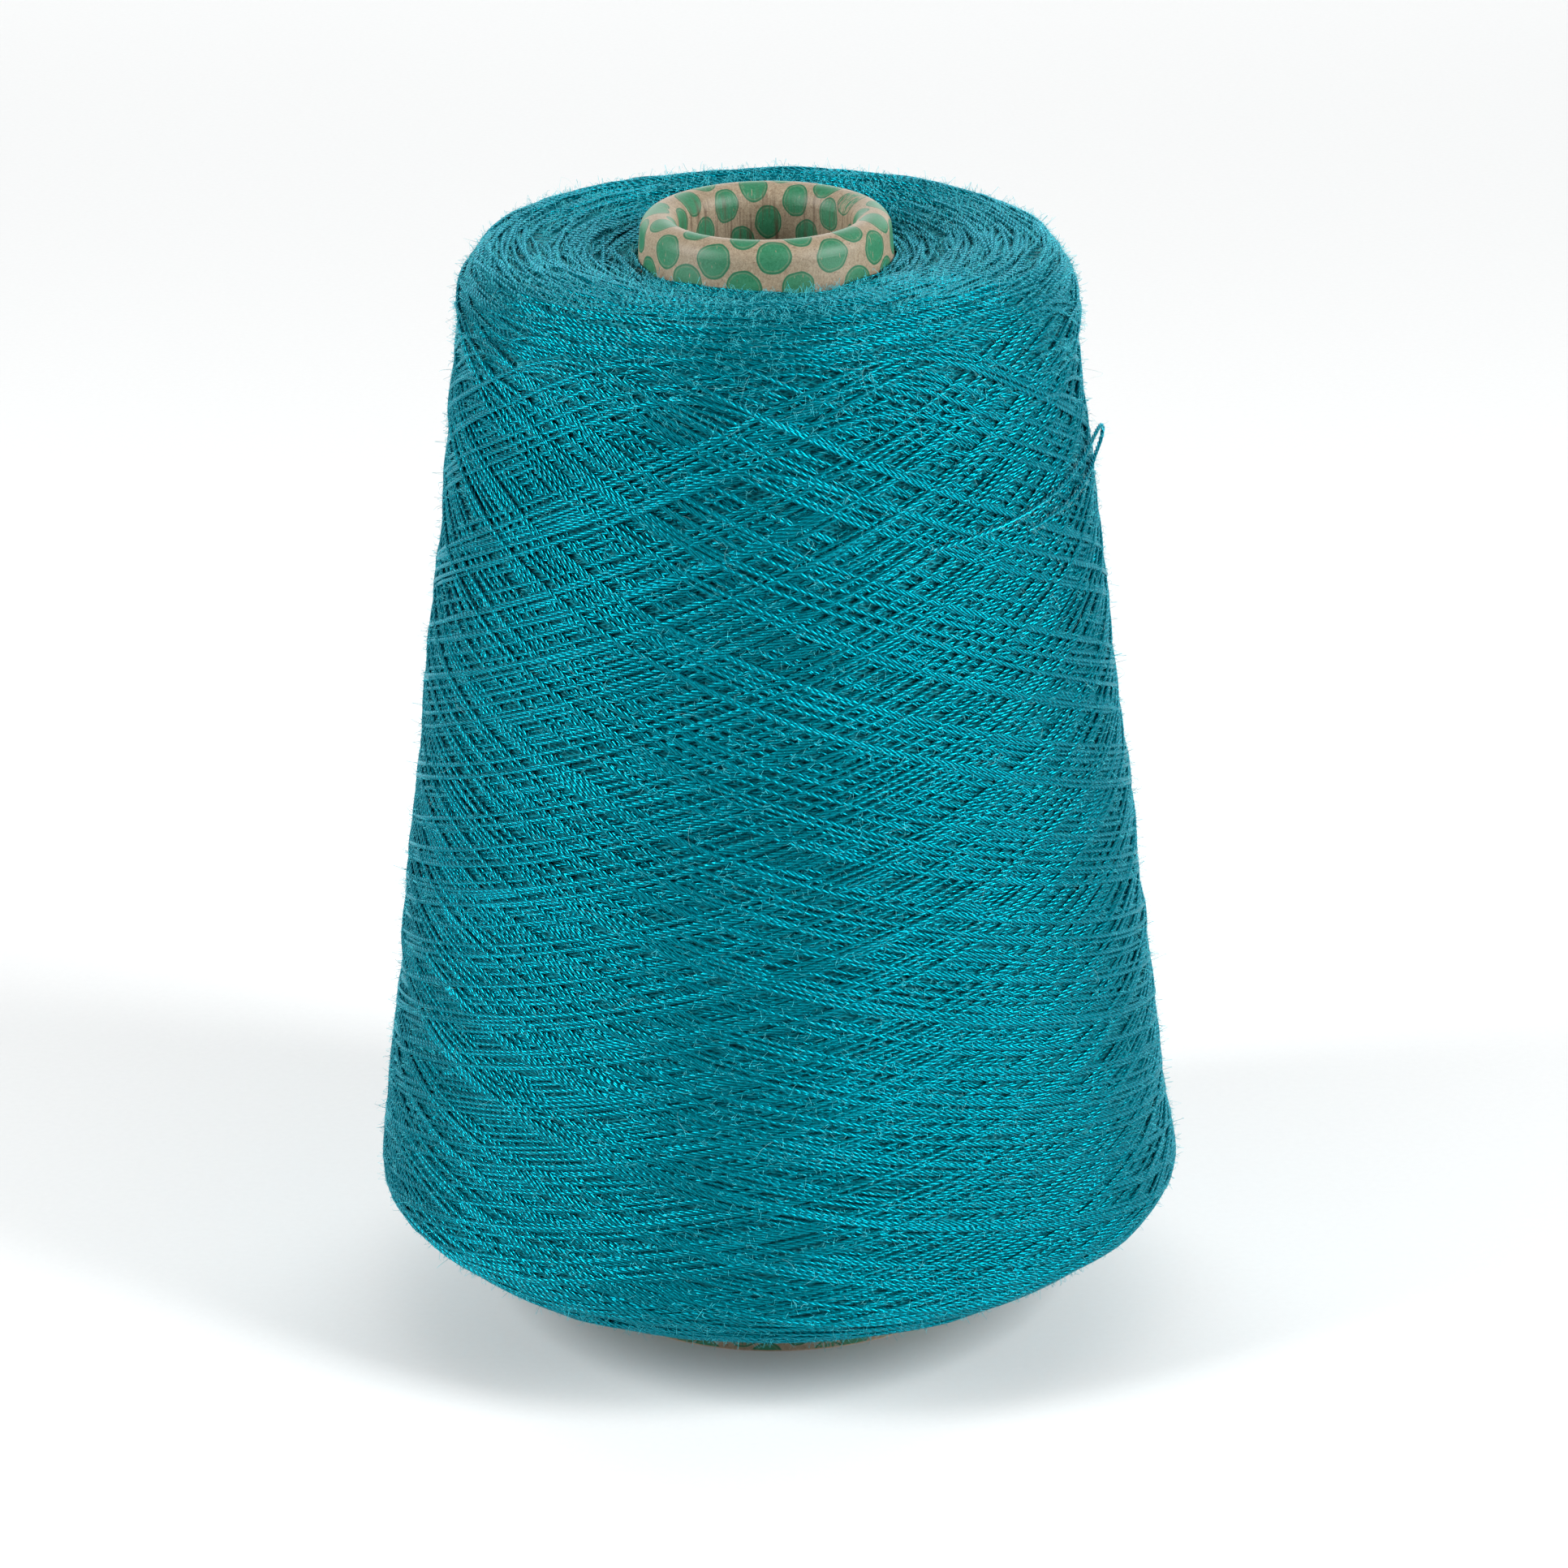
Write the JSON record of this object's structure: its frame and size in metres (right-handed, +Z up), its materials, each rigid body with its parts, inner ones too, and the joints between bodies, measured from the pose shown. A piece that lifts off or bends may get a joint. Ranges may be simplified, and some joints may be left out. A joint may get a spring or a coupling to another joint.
{
  "type": "yarn cone",
  "caption": "Tapered package of cross-wound twisted yarn on a hollow wound-paper cone with a rolled, dot-printed nose, standing on its wide end.",
  "frame": {"origin": "centre of the cone's wide end, on the surface that it stands on", "axes": "+Z up the cone's axis towards the rolled nose; -Y is the front, and the yarn's tucked outer end turns back at +X"},
  "size_m": [0.121, 0.121, 0.17],
  "materials": {
    "kraft_board": "matte",
    "printed_kraft_paper": "satin",
    "wound_yarn": "satin",
    "loose_yarn": "satin"
  },
  "bodies": {
    "root": {"cone_board": "kraft_board", "printed_wrap": "printed_kraft_paper", "yarn_package": "wound_yarn", "yarn_outer_end": "loose_yarn"}
  },
  "joints": []
}
